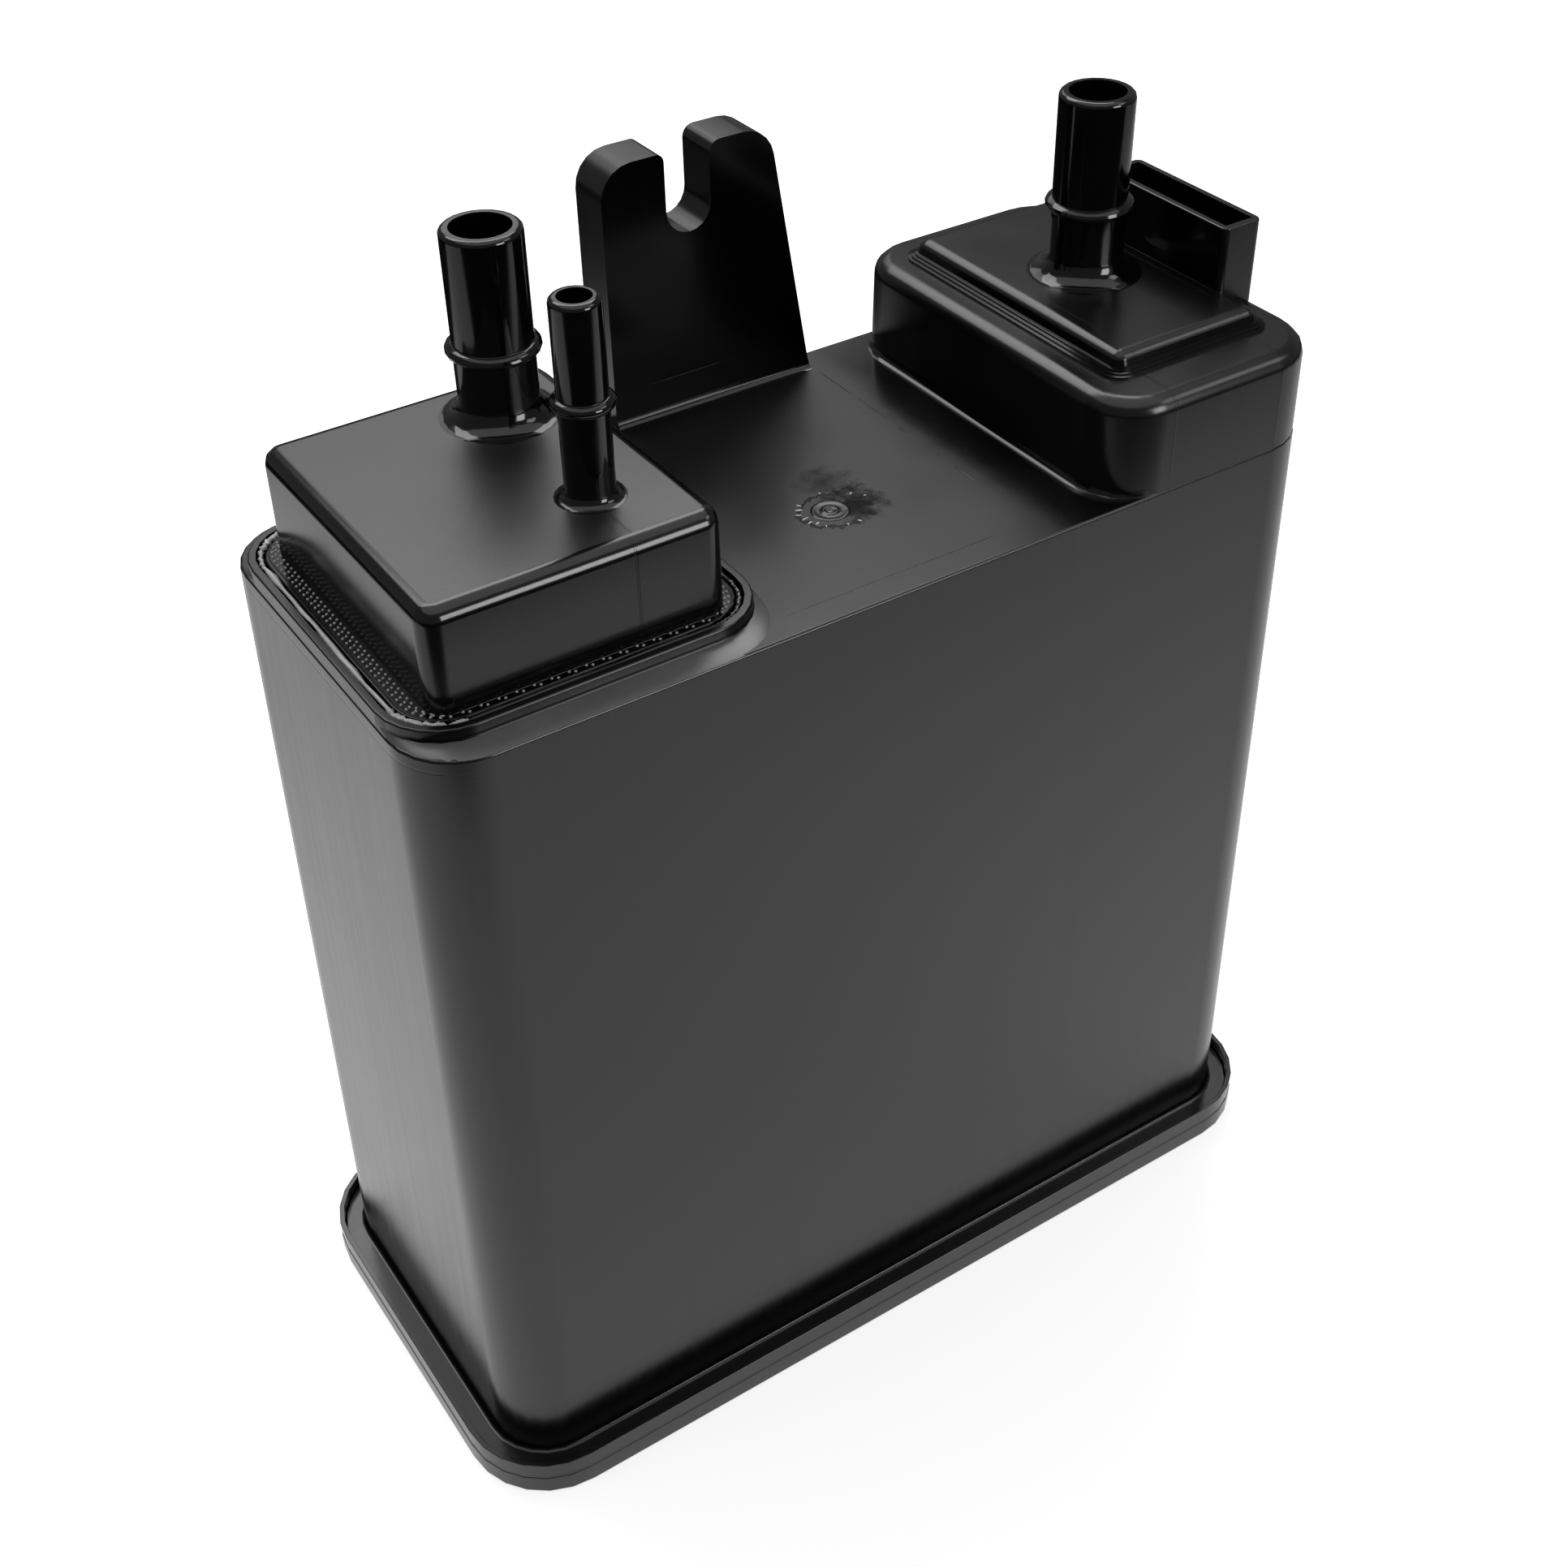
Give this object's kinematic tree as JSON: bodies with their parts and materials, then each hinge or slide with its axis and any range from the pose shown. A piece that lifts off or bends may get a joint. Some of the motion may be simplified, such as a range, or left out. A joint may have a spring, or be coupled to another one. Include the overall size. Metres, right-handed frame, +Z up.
{
  "type": "charcoal canister",
  "caption": "Black moulded vapour canister: drafted box with welded bottom cover, capped port chamber, hose ports with snap beads, notched mounting tab and slot pocket.",
  "frame": {"origin": "centre of the bottom cover's underside, where the canister stands", "axes": "+X along the box from the port cover to the dome with the vent port, +Y towards the wall with the mounting tab, +Z up along the ports"},
  "size_m": [0.226, 0.109, 0.2678],
  "materials": {
    "body_plastic": "black moulded polyamide, satin walls and glossier top faces",
    "port_cover_plastic": "black moulded polyamide, fine satin top, glossy ports",
    "bottom_cover_plastic": "black moulded polyamide, satin",
    "activated_carbon": "packed black pellets",
    "filter_foam": "open-cell foam",
    "grid_plastic": "moulded, matte",
    "spring_steel": "drawn wire"
  },
  "bodies": {
    "root": {"canister_body": "body_plastic", "port_cover": "port_cover_plastic", "bottom_cover": "bottom_cover_plastic", "carbon_main": "activated_carbon", "carbon_vent": "activated_carbon", "top_pad_main": "filter_foam", "top_pad_vent": "filter_foam", "bottom_pad_main": "filter_foam", "bottom_pad_vent": "filter_foam", "pressure_plate_main": "grid_plastic", "pressure_plate_vent": "grid_plastic", "top_grid_main": "grid_plastic", "top_grid_vent": "grid_plastic", "spring_main_1": "spring_steel", "spring_main_2": "spring_steel", "spring_main_3": "spring_steel", "spring_main_4": "spring_steel", "spring_vent_1": "spring_steel", "spring_vent_2": "spring_steel"}
  },
  "joints": []
}
